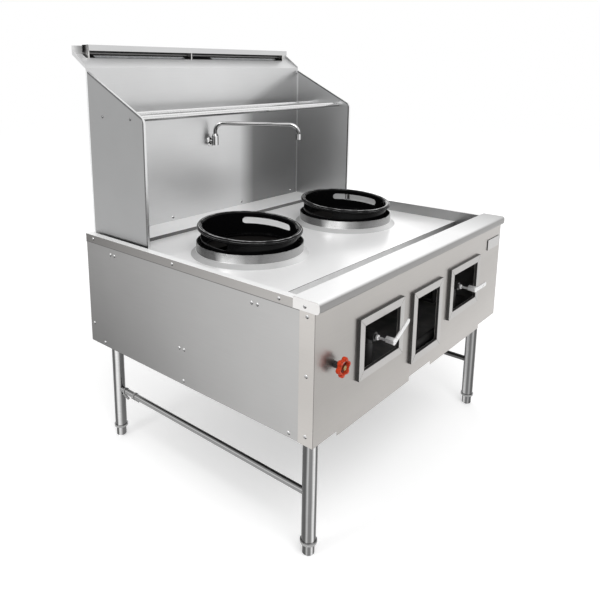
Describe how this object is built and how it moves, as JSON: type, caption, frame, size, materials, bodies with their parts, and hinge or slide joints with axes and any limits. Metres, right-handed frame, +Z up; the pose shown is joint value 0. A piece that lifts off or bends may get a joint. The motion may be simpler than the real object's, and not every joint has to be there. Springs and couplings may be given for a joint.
{
  "type": "wok range",
  "caption": "Free-standing stainless wok range: recessed hob with lift-off wok rings, front gutter, splashback with flue outlet, swing spout, water handwheel and quarter-turn gas levers.",
  "frame": {"origin": "on the floor, in the middle of the bounding box's footprint", "axes": "+X to the range's right as a cook sees it, +Y from the front panel to the splashback, +Z up"},
  "size_m": [1.205, 1.1134, 1.416],
  "materials": {
    "stainless": "brushed stainless sheet",
    "polished_stainless": "polished stainless tube and bar",
    "black_enamel_iron": "glossy black enamel on cast iron",
    "cast_iron": "rough casting",
    "dark_steel": "painted steel angle",
    "galvanised_steel": "dull zinc coating",
    "chrome": "polished chrome plating",
    "brass": "machined brass",
    "red_paint": "glossy red paint on a casting"
  },
  "bodies": {
    "range_body": {"front_panel": "stainless", "left_panel": "stainless", "right_panel": "stainless", "rear_panel": "stainless", "base_frame": "dark_steel", "base_pan": "stainless", "hob_top": "stainless", "gutter": "stainless", "front_rail": "stainless", "left_rail_cap": "stainless", "right_rail_cap": "stainless", "left_window_frame": "stainless", "centre_window_frame": "stainless", "right_window_frame": "stainless", "left_collar": "polished_stainless", "right_collar": "polished_stainless", "left_fire_pot": "cast_iron", "right_fire_pot": "cast_iron", "left_burner": "cast_iron", "right_burner": "cast_iron", "back_panel": "stainless", "left_wing": "stainless", "right_wing": "stainless", "front_rack_tube": "polished_stainless", "rear_rack_tube": "polished_stainless", "flue_lip": "stainless", "flue_cap": "stainless", "flue_spacers": "stainless", "left_flue_duct": "galvanised_steel", "right_flue_duct": "galvanised_steel", "tap_flange": "chrome", "tap_body": "chrome", "water_valve": "brass", "water_pipes": "galvanised_steel", "gas_manifold": "galvanised_steel", "left_gas_valve": "brass", "right_gas_valve": "brass", "left_gas_feed": "galvanised_steel", "right_gas_feed": "galvanised_steel", "front_left_leg": "polished_stainless", "front_right_leg": "polished_stainless", "rear_left_leg": "polished_stainless", "rear_right_leg": "polished_stainless", "foot_sockets": "polished_stainless", "left_stretcher": "polished_stainless", "right_stretcher": "polished_stainless", "stretcher_fittings": "polished_stainless", "panel_screws": "polished_stainless"},
    "spout_arm": {"spout": "chrome", "spout_nozzle": "chrome"},
    "water_wheel": {"handwheel": "red_paint", "handwheel_spindle": "brass"},
    "left_gas_lever": {"left_lever": "chrome"},
    "right_gas_lever": {"right_lever": "chrome"},
    "left_ring": {"left_wok_ring": "black_enamel_iron"},
    "right_ring": {"right_wok_ring": "black_enamel_iron"},
    "foot_fl": {"front_left_foot": "polished_stainless"},
    "foot_fr": {"front_right_foot": "polished_stainless"},
    "foot_rl": {"rear_left_foot": "polished_stainless"},
    "foot_rr": {"rear_right_foot": "polished_stainless"}
  },
  "joints": [
    {"name": "spout_swing", "type": "hinge", "parent": "range_body", "child": "spout_arm", "pos_m": [0, 0.45225, 1.08], "axis": [0, 0, 1], "range_deg": [-116, 54]},
    {"name": "handwheel_turn", "type": "hinge", "parent": "range_body", "child": "water_wheel", "pos_m": [-0.508, -0.53575, 0.586], "axis": [0, -1, 0], "range_deg": [0, 1080]},
    {"name": "left_lever_turn", "type": "hinge", "parent": "range_body", "child": "left_gas_lever", "pos_m": [-0.28098, -0.55275, 0.58], "axis": [0, -1, 0], "range_deg": [-28, 62]},
    {"name": "right_lever_turn", "type": "hinge", "parent": "range_body", "child": "right_gas_lever", "pos_m": [0.28098, -0.55275, 0.58], "axis": [0, -1, 0], "range_deg": [0, 90]},
    {"name": "left_ring_lift", "type": "slide", "parent": "range_body", "child": "left_ring", "axis": [0, 0, 1], "range_m": [0, 0.1]},
    {"name": "right_ring_lift", "type": "slide", "parent": "range_body", "child": "right_ring", "axis": [0, 0, 1], "range_m": [0, 0.1]},
    {"name": "foot_fl_level", "type": "slide", "parent": "range_body", "child": "foot_fl", "axis": [0, 0, 1], "range_m": [-0.025, 0]},
    {"name": "foot_fr_level", "type": "slide", "parent": "range_body", "child": "foot_fr", "axis": [0, 0, 1], "range_m": [-0.025, 0]},
    {"name": "foot_rl_level", "type": "slide", "parent": "range_body", "child": "foot_rl", "axis": [0, 0, 1], "range_m": [-0.025, 0]},
    {"name": "foot_rr_level", "type": "slide", "parent": "range_body", "child": "foot_rr", "axis": [0, 0, 1], "range_m": [-0.025, 0]}
  ]
}
